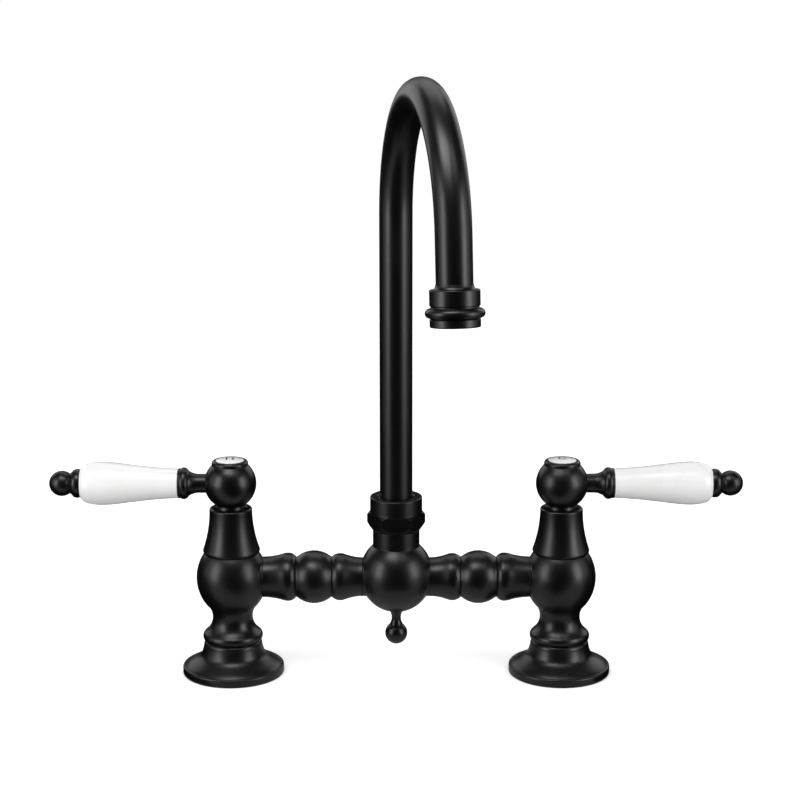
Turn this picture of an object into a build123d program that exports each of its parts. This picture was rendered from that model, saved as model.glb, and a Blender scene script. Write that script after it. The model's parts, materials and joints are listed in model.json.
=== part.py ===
from build123d import *
import os
from math import acos, cos, degrees, radians, sin, sqrt

# A bridge kitchen faucet: two valve pillars clamped to the deck, a raised bridge that
# joins them through a middle body, a gooseneck spout that swings on that body, and a
# porcelain lever on each valve. Millimetres, +Z up. The origin lies on the deck's top
# face, midway between the pillars. -Y is the sink's side, -X hot and +X cold.

os.makedirs("parts", exist_ok=True)

# ---- Layout
tap_centres = 203.2          # between the two pillars, the 8 inch standard
bridge_height = 61.5         # axis of the bridge arms above the deck
arch_height = 287.5          # where the gooseneck's bend starts, above the deck
deck_thickness = 30.0        # the worktop that the shanks clamp
SIDES = (("left", -1), ("right", 1))

# ---- Clearances
thread_gap = 0.05            # radial, threads drawn plain, brazed seats and press fits
turn_gap = 0.05              # radial, running fit of what turns
drop_gap = 0.2               # radial, pieces that drop into place
face_gap = 0.3               # along an axis, between pieces that pass each other

# ---- Shank and under-deck hardware
shank_r = 10.48              # G 1/2 pipe thread
shank_wall = 2.98
shank_engagement = 10.2      # screwed into the valve body
tail_length = 14.0           # free thread for the supply hose
relief_width = 2.5           # groove above the free thread
relief_depth = 0.7
backnut_af = 34.0            # across flats
backnut_height = 8.0
washer_r = 22.0
clamp_washer_thickness = 2.0
rubber_washer_thickness = 3.0

# ---- Flange and its gasket
flange_r = 31.4
flange_rim = 4.0             # height of the upright rim, below its rounded edge
flange_top_r = 17.5
flange_height = 20.8
gasket_margin = 4.4          # from the flange's edge to its gasket
gasket_thickness = 3.0

# ---- Valve body
valve_bead_r = 18.5
valve_bead_height = 6.0
waist_r = 12.4
valve_ball_r = 21.85
valve_ball_foot = 18.9       # the ball's lower edge below the bridge's axis
bonnet_rise = 15.8           # the bonnet's lower edge above the bridge's axis
bonnet_seat_r = 16.8         # where the ball meets the bonnet
bonnet_thread_r = 14.0
bonnet_thread_length = 6.7
chamber_r = 10.0
chamber_drop = 11.5          # floor of the valve chamber below the bridge's axis
inlet_r = 6.0
port_r = 6.0                 # water ways through the bridge

# ---- Bonnet
bonnet_rim_r = 17.5
bonnet_top_r = 13.1
bonnet_height = 28.8
bonnet_wall = 1.6
bonnet_lip = 3.0             # height of the rim round the handle's neck

# ---- Ceramic disc cartridge
cartridge_thread_r = 10.48
cartridge_barrel_r = 9.4
disc_pocket_r = 8.0
cartridge_thread_length = 14.0
cartridge_flange_r = 13.0
cartridge_flange = 2.0
cartridge_hex_af = 19.0
cartridge_hex_height = 6.0
gland_r = 7.5
disc_thickness = 3.5
seal_thickness = 3.0
disc_eye_r = 2.6             # solid middle of each ceramic disc
window_width = 9.0
barrel_gap = 1.0             # between the barrel and the chamber's floor
disc_rim = 1.2               # ceramic left outside a fixed disc's openings
disc_way_half = 38           # degrees on each side of an opening's middle
disc_eye_margin = 0.4        # between a disc's solid middle and its openings
gland_gap = 1.0              # between the gland and the hub's skirt

# ---- Spindle and handle
spindle_r = 4.0
spindle_flat = 0.9           # depth of each flat of its square end
foot_height = 3.6
broach_depth = 11.5
tongue_height = 1.0          # of the spindle, in the moving disc's slot
ring_cord_r = 0.75           # rubber ring on the spindle
hub_ball_r = 16.0
hub_skirt_r = 8.4
hub_bead = 0.6               # how far the bead under the ball stands out
hub_rise = 1.7               # foot of the ball above the bonnet's top
hub_overlap = 5.5            # how far the skirt reaches into the bonnet
hub_lip_height = 3.4
button_r = 8.6
button_edge = 3.4            # height of the button's upright edge
button_crown = 1.3           # how far it domes above the edge
button_rim = 2.6             # of the hub, round the button
letter_height = 5.4
letter_stroke = 0.95
letter_depth = 0.35
screw_r = 2.0
screw_head_r = 4.2
screw_head_height = 3.2
screw_headroom = 0.4         # between the screw's head and the button
screw_grip = 8.0             # how far the screw enters the spindle
screw_socket_af = 4.0
screw_socket_depth = 2.0

# ---- Lever, along its own axis
rod_r = 3.0
rod_start = 6.5              # from the hub's axis
neck_seat = 4.0              # how deep the neck sits in the hub's ball
neck_r = 5.85
neck_bead_r = 9.76
neck_bead = 28.0             # from the hub's axis
neck_lip = 3.8               # from the bead to the porcelain
porcelain_start_r = 9.0
porcelain_r = 13.25
porcelain_end_r = 9.2
porcelain_length = 59.6
porcelain_tail = 13.0        # from its widest place to its outer end
porcelain_bore_gap = 0.6
collar_r = 8.85
finial_neck_r = 6.0
finial_ball_r = 7.78
finial_reach = 11.7          # centre of the end ball from the porcelain
finial_hole_stop = 1.0       # the rod's hole ends this far short of that centre

# ---- Bridge arms, along their own axis
bridge_ball_r = 16.35
groove_r = 12.9
collar_gap = 1.0             # neck between the bridge ball and each collar
collar_bulge = 5.1           # from a collar's near end to its widest place
outer_collar_bulge_r = 14.9
outer_collar_r = 12.55
inner_collar_bulge_r = 14.6
inner_collar_r = 12.05
boss_stand = 1.3             # how far a boss stands proud where it leaves its ball
bridge_tube_wall = 2.0
bridge_tube_seat = 6.3       # how far the tube enters each boss
union_ring_r = 0.95

# ---- Spout
tube_r = 10.0
tube_wall = 1.4
arch_r = 76.2                # radius of the gooseneck's centre line
arch_angle = 173.5           # degrees the tube bends through
spout_yaw = 11.6             # degrees that it stands swung towards +X
thrust_thickness = 1.0
spigot_wall = 3.4
spigot_foot_gap = 2.0        # under the spigot, in the body's bore
spigot_flange = 1.9          # how far its flange stands out
spigot_flange_height = 4.6
tube_seat = 3.2              # how deep the tube sits in the spigot's flange
spout_ring_r = 1.0           # rubber cord of the spout's seal rings
bush_height = 3.1

# ---- Middle body, spout nut and drop finial
body_ball_r = 22.7
body_ball_half = 23.8        # half its height, so it is a little taller than wide
body_ball_rise = 1.9         # its widest level above the bridge's axis
body_neck_wall = 1.15        # step from the thread out to the neck
body_neck_length = 10.6
body_thread_wall = 2.25      # from the spigot's bore out to the thread
body_thread_length = 9.6
spout_bore_depth = 22.0
body_chamber_r = 9.0
body_chamber_drop = 13.5     # floor of the water chamber below the bridge's axis
nut_wall = 2.8
nut_flat_step = 0.5          # the hexagon's flats inside the nut's round collar
nut_hex_height = 11.5
nut_height = 20.9
drop_flare_r = 4.6
drop_neck_r = 2.88
drop_ball_r = 6.9
drop_ball_drop = 15.0        # centre of the drop below its seat
drop_stud_r = 2.4
drop_stud_length = 7.0

# ---- Spout end, along the tube's last straight
end_straight = 47.8          # from the bend to the outlet
outlet_ring_height = 4.6
outlet_wall = 3.6            # from the tube's outside to the outlet ring's
end_bead = 2.5               # how far the bead stands out
end_bead_height = 5.8
end_groove = 0.8
end_collar_height = 8.8
end_flare = 1.7
end_flare_height = 2.6
aerator_thread_wall = 2.1    # from the aerator's thread to the outlet ring's outside
aerator_thread_length = 6.5
aerator_wall = 1.7
aerator_ledge = 1.2
aerator_plate = 1.6
aerator_washer_thickness = 1.5
aerator_washer_width = 2.4   # inwards from the aerator's bore
aerator_shoulder = 1.6       # of the collar, inwards from the aerator's bore
aerator_shoulder_height = 2.0
aerator_runout = 0.6         # of the collar's thread, above the aerator
aerator_cup_wall = 1.2
jet_circle_r = 2.9           # first ring of jets, the second lies twice as far out
jet_r = 0.8                  # holes of the aerator's spray plate

# ---- What follows from the sizes above: valve and handle, levels above the deck
bonnet_seat = bridge_height + bonnet_rise
bonnet_top = bonnet_seat + bonnet_height
chamber_floor = bridge_height - chamber_drop
cartridge_seat = bonnet_seat + bonnet_thread_length
thread_bottom = cartridge_seat - cartridge_thread_length
hex_floor = cartridge_seat + cartridge_flange
ring_level = hex_floor + cartridge_hex_height / 2
barrel_bottom = chamber_floor + barrel_gap
disc_floor = chamber_floor + seal_thickness
moving_floor = disc_floor + disc_thickness
foot_floor = moving_floor + disc_thickness
pocket_top = foot_floor + foot_height + face_gap
hub_foot = bonnet_top + hub_rise
hub_skirt_bottom = bonnet_top - hub_overlap
gland_top = hub_skirt_bottom - gland_gap
hub_lip_r = button_r + button_rim
hub_neck_r = hub_skirt_r + hub_bead
bonnet_hole_r = hub_neck_r + 0.5
lever_height = hub_foot + sqrt(hub_ball_r**2 - hub_skirt_r**2)
lip_bottom = lever_height + sqrt(hub_ball_r**2 - (hub_lip_r + 0.2) ** 2)
hub_top = lip_bottom + hub_lip_height
button_floor = hub_top - button_edge + drop_gap

# ---- lever, as distances from the hub's axis
neck_start = hub_ball_r - neck_seat
porcelain_start = neck_bead + neck_lip
porcelain_end = porcelain_start + porcelain_length
porcelain_widest = porcelain_end - porcelain_tail
finial_ball = porcelain_end + finial_reach
rod_hole_end = finial_ball - finial_hole_stop

# ---- bridge arms, as distances from the bridge ball or from the axis of a body
ball_corner = sqrt(bridge_ball_r**2 - groove_r**2)
collar_start = ball_corner + collar_gap
outer_boss = sqrt(valve_ball_r**2 - outer_collar_r**2) + boss_stand
inner_boss = sqrt(body_ball_r**2 - inner_collar_r**2) + boss_stand
bridge_tube_r = port_r + bridge_tube_wall

# ---- spout, spout nut and outlet
spigot_r = tube_r + 0.9
spout_bore_r = spigot_r + turn_gap
spigot_bore_r = spigot_r - spigot_wall
spigot_flange_r = spigot_r + spigot_flange
body_thread_r = spout_bore_r + body_thread_wall
body_neck_r = body_thread_r + body_neck_wall
nut_collar_r = body_thread_r + nut_wall
nut_af = 2 * (nut_collar_r - nut_flat_step)
nut_hole_r = tube_r + 1.0
outlet_r = tube_r + outlet_wall
end_bead_r = outlet_r + end_bead
end_flare_r = tube_r + end_flare
aerator_thread_r = outlet_r - aerator_thread_wall
aerator_bore_r = aerator_thread_r - aerator_wall


def upright(x=0.0):
    """Drawing plane through a vertical axis: sketch X is radius, sketch Y is height."""
    return Plane(origin=(x, 0, 0), x_dir=(1, 0, 0), z_dir=(0, -1, 0))


def level(x, height, way):
    """Drawing plane through a level axis: sketch X runs outwards, sketch Y is radius."""
    return Plane(origin=(x, 0, height), x_dir=(way, 0, 0), z_dir=(0, -way, 0))


def save(piece, name):
    """Label one finished sub-part and write it under its name."""
    piece.part.label = name
    export_step(piece.part, f"parts/{name}.step")


def pillar_x(way):
    return way * tap_centres / 2


def turn_at(radius, widest_r):
    """Angle round a ball's half section, from its widest level to where it has this radius."""
    return degrees(acos(radius / widest_r))


# ---------------------------------------------------------------- pillar, outside

def make_flange(side, way):
    """Bell-shaped escutcheon on the deck, pocketed underneath for its gasket."""
    x = pillar_x(way)
    bore = shank_r + drop_gap
    pocket = flange_r - gasket_margin + drop_gap
    edge = 0.7
    flare = (flange_r - 1.7, flange_rim + 0.9)
    foot = (flange_top_r + 0.6, flange_height - 2.6)
    shape = [(flare[0] + a * (foot[0] - flare[0]), flare[1] + b * (foot[1] - flare[1]))
             for a, b in ((0.39, 0.24), (0.82, 0.52), (0.95, 0.80))]
    with BuildPart() as flange:
        with BuildSketch(upright(x)):
            with BuildLine():
                Polyline((bore, flange_height), (bore, gasket_thickness),
                         (pocket, gasket_thickness), (pocket, 0), (flange_r - edge, 0))
                RadiusArc((flange_r - edge, 0), (flange_r, edge), -edge)
                Line((flange_r, edge), (flange_r, flange_rim))
                ThreePointArc((flange_r, flange_rim), (flange_r - 0.35, flange_rim + 0.85),
                              (flange_r - 1.2, flange_rim + 1.2))
                Line((flange_r - 1.2, flange_rim + 1.2), flare)
                # the concave flare up to the foot of the pillar
                Spline(flare, *shape, foot)
                ThreePointArc(foot, (flange_top_r + 0.3, flange_height - 1.1),
                              (flange_top_r - 0.5, flange_height))
                Line((flange_top_r - 0.5, flange_height), (bore, flange_height))
            make_face()
        revolve(axis=Axis((x, 0, 0), (0, 0, 1)))
    save(flange, f"{side}_flange")


def make_valve_body(side, way):
    """Turned brass pillar: foot bead, waist and ball, bored for shank, cartridge and bridge."""
    x = pillar_x(way)
    foot = flange_height
    bead_top = (valve_bead_r - 1.5, foot + valve_bead_height)
    ball_foot = (waist_r + 1.9, bridge_height - valve_ball_foot)
    waist = (waist_r, 0.4 * bead_top[1] + 0.6 * ball_foot[1])
    low_turn = turn_at(ball_foot[0], valve_ball_r)
    high_turn = turn_at(bonnet_seat_r, valve_ball_r)
    # the ball's section is part of an ellipse from its foot to the bonnet's seat
    low_rise, high_rise = sin(radians(low_turn)), sin(radians(high_turn))
    half = (bonnet_seat - ball_foot[1]) / (low_rise + high_rise)
    widest = ball_foot[1] + half * low_rise
    with BuildPart() as body:
        with BuildSketch(upright(x)):
            with BuildLine():
                Line((0, foot), (flange_top_r - 0.4, foot))
                Line((flange_top_r - 0.4, foot), (flange_top_r + 0.1, foot + 0.6))
                ThreePointArc((flange_top_r + 0.1, foot + 0.6),
                              (valve_bead_r, foot + 0.58 * valve_bead_height), bead_top)
                ThreePointArc(bead_top, waist, ball_foot)
                EllipticalCenterArc((0, widest), valve_ball_r, half, -low_turn,
                                    arc_size=low_turn + high_turn)
                Polyline((bonnet_seat_r, bonnet_seat), (bonnet_thread_r, bonnet_seat),
                         (bonnet_thread_r, cartridge_seat), (0, cartridge_seat), (0, foot))
            make_face()
        revolve(axis=Axis((x, 0, 0), (0, 0, 1)))
        # boss towards the bridge
        with BuildSketch(Plane.YZ.offset(x)):
            with Locations((0, bridge_height)):
                Circle(outer_collar_r)
        extrude(amount=-way * outer_boss)
        # shank socket, inlet, valve chamber and cartridge thread on the pillar's axis
        for radius, low, high in ((shank_r + thread_gap, foot, foot + shank_engagement),
                                  (inlet_r, foot, chamber_floor),
                                  (chamber_r, chamber_floor, cartridge_seat),
                                  (cartridge_thread_r + thread_gap,
                                   cartridge_seat - cartridge_thread_length - 1,
                                   cartridge_seat)):
            with BuildSketch(Plane.XY.offset(low)):
                with Locations((x, 0)):
                    Circle(radius)
            extrude(amount=high - low, mode=Mode.SUBTRACT)
        # the boss's face, trimmed flat for the collar
        face = Plane(origin=(x - way * outer_boss, 0, bridge_height), z_dir=(way, 0, 0))
        with BuildSketch(face):
            Circle(outer_collar_r)
        extrude(amount=-valve_ball_r / 2, mode=Mode.SUBTRACT)
        # side port: water way, seat for the bridge tube and groove for its seal ring
        for radius, depth in ((port_r, outer_boss), (bridge_tube_r + thread_gap, bridge_tube_seat),
                              (bridge_tube_r + 2 * union_ring_r + drop_gap, 2 * union_ring_r)):
            with BuildSketch(face):
                Circle(radius)
            extrude(amount=depth, mode=Mode.SUBTRACT)
    save(body, f"{side}_valve_body")


def make_bonnet(side, way):
    """Bell cover screwed over the valve, open at the top round the handle's neck."""
    x = pillar_x(way)
    step = cartridge_seat + cartridge_flange + drop_gap
    thread = bonnet_thread_r + thread_gap
    with BuildPart() as bonnet:
        with BuildSketch(upright(x)):
            with BuildLine():
                Polyline((thread, bonnet_seat), (bonnet_seat_r - 0.3, bonnet_seat))
                ThreePointArc((bonnet_seat_r - 0.3, bonnet_seat),
                              (bonnet_rim_r - 0.2, bonnet_seat + 0.8),
                              (bonnet_rim_r, bonnet_seat + 2.1))
                ThreePointArc((bonnet_rim_r, bonnet_seat + 2.1),
                              (bonnet_top_r + 1.5, bonnet_seat + 0.44 * bonnet_height),
                              (bonnet_top_r, bonnet_top - 1.2))
                ThreePointArc((bonnet_top_r, bonnet_top - 1.2),
                              (bonnet_top_r - 0.35, bonnet_top - 0.35),
                              (bonnet_top_r - 1.2, bonnet_top))
                Line((bonnet_top_r - 1.2, bonnet_top), (bonnet_hole_r + 0.4, bonnet_top))
                Line((bonnet_hole_r + 0.4, bonnet_top), (bonnet_hole_r, bonnet_top - 0.4))
                Polyline((bonnet_hole_r, bonnet_top - 0.4), (bonnet_hole_r, bonnet_top - bonnet_lip),
                         (bonnet_top_r - bonnet_wall, bonnet_top - bonnet_lip),
                         (bonnet_top_r - bonnet_wall, step), (thread, step),
                         (thread, bonnet_seat))
            make_face()
        revolve(axis=Axis((x, 0, 0), (0, 0, 1)))
    save(bonnet, f"{side}_bonnet")


# ---------------------------------------------------------------- under the deck

def make_shank(side, way):
    """Threaded pipe through the deck: top end in the valve body, tail for the hose."""
    x = pillar_x(way)
    top = flange_height + shank_engagement
    nut_bottom = -(deck_thickness + rubber_washer_thickness + clamp_washer_thickness
                   + backnut_height)
    tail_top = nut_bottom - relief_width
    bottom = tail_top - tail_length
    chamfer_size = 1.0
    relief_r = shank_r - relief_depth
    bore = shank_r - shank_wall
    with BuildPart() as shank:
        with BuildSketch(upright(x)):
            with BuildLine():
                Polyline((bore, top), (bore, bottom),
                         (shank_r - chamfer_size, bottom), (shank_r, bottom + chamfer_size),
                         (shank_r, tail_top), (relief_r, tail_top), (relief_r, nut_bottom),
                         (shank_r, nut_bottom), (shank_r, top), close=True)
            make_face()
        revolve(axis=Axis((x, 0, 0), (0, 0, 1)))
    save(shank, f"{side}_shank")


def make_deck_rings(name, radius, bore, low, high):
    """The same ring under or over the deck at both shanks."""
    with BuildPart() as rings:
        with BuildSketch(Plane.XY.offset(low)):
            with Locations(*[(pillar_x(way), 0) for _, way in SIDES]):
                Circle(radius)
                Circle(bore, mode=Mode.SUBTRACT)
        extrude(amount=high - low)
    save(rings, name)


def make_backnuts():
    """Hexagon nuts that pull the tap down onto the deck."""
    top = -(deck_thickness + rubber_washer_thickness + clamp_washer_thickness)
    low = top - backnut_height
    face_r = backnut_af / 2 + 0.4
    with BuildPart() as backnuts:
        with BuildSketch(Plane.XY.offset(top)):
            with Locations(*[(pillar_x(way), 0) for _, way in SIDES]):
                RegularPolygon(backnut_af / 2, 6, major_radius=False)
                Circle(shank_r + thread_gap, mode=Mode.SUBTRACT)
        extrude(amount=-backnut_height)
        # the corners are turned off on the underside
        for _, way in SIDES:
            with BuildSketch(upright(pillar_x(way))):
                with BuildLine():
                    Polyline((face_r, low), (backnut_af, low),
                             (backnut_af, low + (backnut_af - face_r) / 2), close=True)
                make_face()
            revolve(axis=Axis((pillar_x(way), 0, 0), (0, 0, 1)), mode=Mode.SUBTRACT)
    save(backnuts, "backnuts")


# ---------------------------------------------------------------- cartridge

def make_cartridge_body(side, way):
    """Brass headwork: barrel with two windows round the discs, thread, hexagon, gland."""
    x = pillar_x(way)
    bore = spindle_r + turn_gap
    with BuildPart() as headwork:
        with BuildSketch(upright(x)):
            with BuildLine():
                Polyline((disc_pocket_r, barrel_bottom), (cartridge_barrel_r, barrel_bottom),
                         (cartridge_barrel_r, thread_bottom), (cartridge_thread_r, thread_bottom),
                         (cartridge_thread_r, cartridge_seat),
                         (cartridge_flange_r, cartridge_seat), (cartridge_flange_r, hex_floor),
                         (gland_r, hex_floor), (gland_r, gland_top), (bore, gland_top),
                         (bore, pocket_top), (disc_pocket_r, pocket_top), close=True)
            make_face()
        revolve(axis=Axis((x, 0, 0), (0, 0, 1)))
        with BuildSketch(Plane.XY.offset(hex_floor)):
            with Locations((x, 0)):
                RegularPolygon(cartridge_hex_af / 2, 6, major_radius=False)
                Circle(gland_r - 1, mode=Mode.SUBTRACT)
        extrude(amount=cartridge_hex_height)
        # windows level with the moving disc, facing along the bridge
        with Locations((x, 0, moving_floor + disc_thickness / 2)):
            Box(3 * cartridge_barrel_r, window_width, disc_thickness + 1, mode=Mode.SUBTRACT)
    save(headwork, f"{side}_cartridge_body")


def disc_ways(radius, turn):
    """The two opposite openings of a ceramic disc, as one sketch."""
    with BuildSketch() as ways:
        for start in (turn - disc_way_half, turn + 180 - disc_way_half):
            with BuildLine():
                inner = CenterArc((0, 0), disc_eye_r + disc_eye_margin, start, 2 * disc_way_half)
                outer = CenterArc((0, 0), radius, start, 2 * disc_way_half)
                Line(inner @ 0, outer @ 0)
                Line(inner @ 1, outer @ 1)
            make_face()
    return ways.sketch


def make_fixed_discs():
    """Lower ceramic disc of each valve, with two openings on the bridge's line."""
    with BuildPart() as discs:
        for _, way in SIDES:
            with BuildSketch(Plane(origin=(pillar_x(way), 0, disc_floor))):
                Circle(disc_pocket_r - drop_gap)
            extrude(amount=disc_thickness)
        for _, way in SIDES:
            with BuildSketch(Plane(origin=(pillar_x(way), 0, disc_floor))):
                add(disc_ways(disc_pocket_r - disc_rim, 0))
            extrude(amount=disc_thickness, mode=Mode.SUBTRACT)
    save(discs, "fixed_discs")


def make_moving_disc(side, way):
    """Upper ceramic disc, shut at rest, with a slot for the spindle's tongue."""
    x = pillar_x(way)
    slot_depth = tongue_height + drop_gap
    with BuildPart() as disc:
        with BuildSketch(Plane(origin=(x, 0, moving_floor))):
            Circle(disc_pocket_r - 2 * drop_gap)
        extrude(amount=disc_thickness)
        # openings run out through the edge, across the line of the bridge
        with BuildSketch(Plane(origin=(x, 0, moving_floor))):
            add(disc_ways(disc_pocket_r + 1, 90))
        extrude(amount=disc_thickness, mode=Mode.SUBTRACT)
        with Locations((x, 0, foot_floor)):
            Box(2 * disc_pocket_r, 2 * disc_eye_r, 2 * slot_depth, mode=Mode.SUBTRACT)
    save(disc, f"{side}_moving_disc")


def make_spindle(side, way):
    """Brass spindle: foot and tongue on the disc, seal groove, square end, screw hole."""
    x = pillar_x(way)
    top = hub_skirt_bottom + broach_depth
    groove_r = spindle_r - 2 * ring_cord_r
    foot_r = disc_pocket_r - 3 * drop_gap
    square = 2 * (spindle_r - spindle_flat)
    half = ring_cord_r + thread_gap
    with BuildPart() as spindle:
        with BuildSketch(upright(x)):
            with BuildLine():
                Polyline((0, foot_floor), (foot_r, foot_floor), (foot_r, foot_floor + foot_height),
                         (spindle_r, foot_floor + foot_height), (spindle_r, ring_level - half),
                         (groove_r, ring_level - half), (groove_r, ring_level + half),
                         (spindle_r, ring_level + half), (spindle_r, top), (0, top), close=True)
            make_face()
        revolve(axis=Axis((x, 0, 0), (0, 0, 1)))
        # tongue in the disc's slot
        with Locations((x, 0, foot_floor - tongue_height / 2)):
            Box(2 * (foot_r - drop_gap), 2 * (disc_eye_r - turn_gap), tongue_height)
        # four flats make the square that carries the hub
        with BuildSketch(Plane.XY.offset(hub_skirt_bottom)):
            with Locations((x, 0)):
                Circle(2 * spindle_r)
                Rectangle(square, square, mode=Mode.SUBTRACT)
        extrude(amount=broach_depth, mode=Mode.SUBTRACT)
        with BuildSketch(Plane.XY.offset(top)):
            with Locations((x, 0)):
                Circle(screw_r)
        extrude(amount=-1.5 * screw_grip, mode=Mode.SUBTRACT)
    save(spindle, f"{side}_spindle")


def make_spindle_ring(side, way):
    """Rubber ring in the spindle's groove."""
    with BuildPart() as ring:
        with Locations((pillar_x(way), 0, ring_level)):
            Torus(spindle_r - ring_cord_r, ring_cord_r)
    save(ring, f"{side}_spindle_ring")


# ---------------------------------------------------------------- handle

def make_handle_hub(side, way):
    """Ball of the handle: skirt over the spindle, side hole for the lever, top recess."""
    x = pillar_x(way)
    z = lever_height
    broach_top = hub_skirt_bottom + broach_depth + face_gap
    recess_r = button_r + 0.15
    square = 2 * (spindle_r - spindle_flat + thread_gap)
    with BuildPart() as hub:
        with BuildSketch(upright(x)):
            with BuildLine():
                Polyline((0, hub_skirt_bottom), (hub_skirt_r - 0.4, hub_skirt_bottom),
                         (hub_skirt_r - 0.4, hub_foot - 4.4))
                ThreePointArc((hub_skirt_r - 0.4, hub_foot - 4.4), (hub_neck_r, hub_foot - 2.2),
                              (hub_skirt_r, hub_foot))
                ThreePointArc((hub_skirt_r, hub_foot), (hub_ball_r, z),
                              (hub_lip_r + 0.2, lip_bottom))
                Line((hub_lip_r + 0.2, lip_bottom), (hub_lip_r - 0.2, lip_bottom + 0.5))
                ThreePointArc((hub_lip_r - 0.2, lip_bottom + 0.5),
                              (hub_lip_r - 0.3, hub_top - 0.9), (recess_r + 0.5, hub_top))
                Polyline((recess_r + 0.5, hub_top), (recess_r, hub_top),
                         (recess_r, button_floor), (0, button_floor), (0, hub_skirt_bottom))
            make_face()
        revolve(axis=Axis((x, 0, 0), (0, 0, 1)))
        # counterbored screw hole, then the square broach
        with Locations((x, 0, button_floor)):
            CounterBoreHole(screw_r + drop_gap, screw_head_r + drop_gap,
                            screw_head_height + screw_headroom, button_floor - broach_top + 1)
        with BuildSketch(Plane.XY.offset(hub_skirt_bottom)):
            with Locations((x, 0)):
                Circle(spindle_r + thread_gap)
                Rectangle(square, square, mode=Mode.INTERSECT)
        extrude(amount=broach_top - hub_skirt_bottom, mode=Mode.SUBTRACT)
        # seat of the lever neck and thread of its rod
        for radius, start in ((neck_r + thread_gap, neck_start), (rod_r + thread_gap, rod_start)):
            with BuildSketch(Plane(origin=(x + way * start, 0, z), z_dir=(way, 0, 0))):
                Circle(radius)
            extrude(amount=hub_ball_r, mode=Mode.SUBTRACT)
    save(hub, f"{side}_handle_hub")


def make_handle_screw(side, way):
    """Screw from the top of the hub down into the spindle."""
    x = pillar_x(way)
    seat = button_floor - screw_head_height - screw_headroom
    with BuildPart() as screw:
        with BuildSketch(Plane.XY.offset(seat)):
            with Locations((x, 0)):
                Circle(screw_head_r)
        extrude(amount=screw_head_height)
        with BuildSketch(Plane.XY.offset(seat)):
            with Locations((x, 0)):
                Circle(screw_r - thread_gap)
        extrude(amount=-(seat - hub_skirt_bottom - broach_depth + screw_grip))
        with BuildSketch(Plane.XY.offset(seat + screw_head_height)):
            with Locations((x, 0)):
                RegularPolygon(screw_socket_af / 2, 6, major_radius=False)
        extrude(amount=-screw_socket_depth, mode=Mode.SUBTRACT)
    save(screw, f"{side}_handle_screw")


def letter_sketch(side):
    """H or C with small serifs, centred on the current place."""
    half = letter_height / 2
    span = 0.36 * letter_height
    serif = 2.2 * letter_stroke
    thin = 0.42 * letter_stroke
    if side == "left":
        with Locations((-span, 0), (span, 0)):
            Rectangle(letter_stroke, letter_height)
        with Locations(*[(a * span, b * (half - thin / 2)) for a in (-1, 1) for b in (-1, 1)]):
            Rectangle(serif, thin)
        Rectangle(2 * span, thin)
    else:
        Circle(half)
        Circle(half - letter_stroke, mode=Mode.SUBTRACT)
        with Locations((half, 0)):
            Rectangle(half, 0.44 * letter_height, mode=Mode.SUBTRACT)
        with Locations((0.72 * half, 0.5 * half)):
            Rectangle(thin, 0.75 * half)


def make_button_and_letter(side, way):
    """White domed button, and the enamel letter that fills the mark sunk in its crown."""
    x = pillar_x(way)
    edge_top = hub_top - 0.1
    crown = edge_top + button_crown
    dome_r = (button_r**2 + button_crown**2) / (2 * button_crown)
    letter_floor = crown - letter_depth - (dome_r - sqrt(dome_r**2 - (letter_height / 2) ** 2))
    with BuildPart() as blank:
        with BuildSketch(upright(x)):
            with BuildLine():
                Polyline((0, crown), (0, button_floor), (button_r, button_floor),
                         (button_r, edge_top))
                RadiusArc((button_r, edge_top), (0, crown), -dome_r)
            make_face()
        revolve(axis=Axis((x, 0, 0), (0, 0, 1)))
    with BuildPart() as letter:
        with BuildSketch(Plane(origin=(x, 0, letter_floor))):
            letter_sketch(side)
        extrude(amount=button_crown + 1)
        add(blank.part, mode=Mode.INTERSECT)
    with BuildPart() as button:
        add(blank.part)
        add(letter.part, mode=Mode.SUBTRACT)
    save(button, f"{side}_index_button")
    save(letter, f"{side}_index_letter")


def make_lever_neck(side, way):
    """Turned ferrule between the hub and the porcelain, ending in a bead and a lip."""
    x = pillar_x(way)
    bore = rod_r + thread_gap
    bead = neck_bead
    face_r = neck_bead_r - 0.85
    with BuildPart() as neck:
        with BuildSketch(level(x, lever_height, way)):
            with BuildLine():
                Polyline((porcelain_start, bore), (neck_start, bore), (neck_start, neck_r),
                         (bead - 8.4, neck_r))
                ThreePointArc((bead - 8.4, neck_r), (bead - 4.6, neck_r + 0.85),
                              (bead - 2.6, neck_bead_r - 1.9))
                ThreePointArc((bead - 2.6, neck_bead_r - 1.9), (bead, neck_bead_r),
                              (bead + 2.5, neck_bead_r - 0.75))
                ThreePointArc((bead + 2.5, neck_bead_r - 0.75), (bead + 3.3, neck_bead_r - 0.5),
                              (porcelain_start, face_r))
                Line((porcelain_start, face_r), (porcelain_start, bore))
            make_face()
        revolve(axis=Axis((x, 0, lever_height), (1, 0, 0)))
    save(neck, f"{side}_lever_neck")


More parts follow.
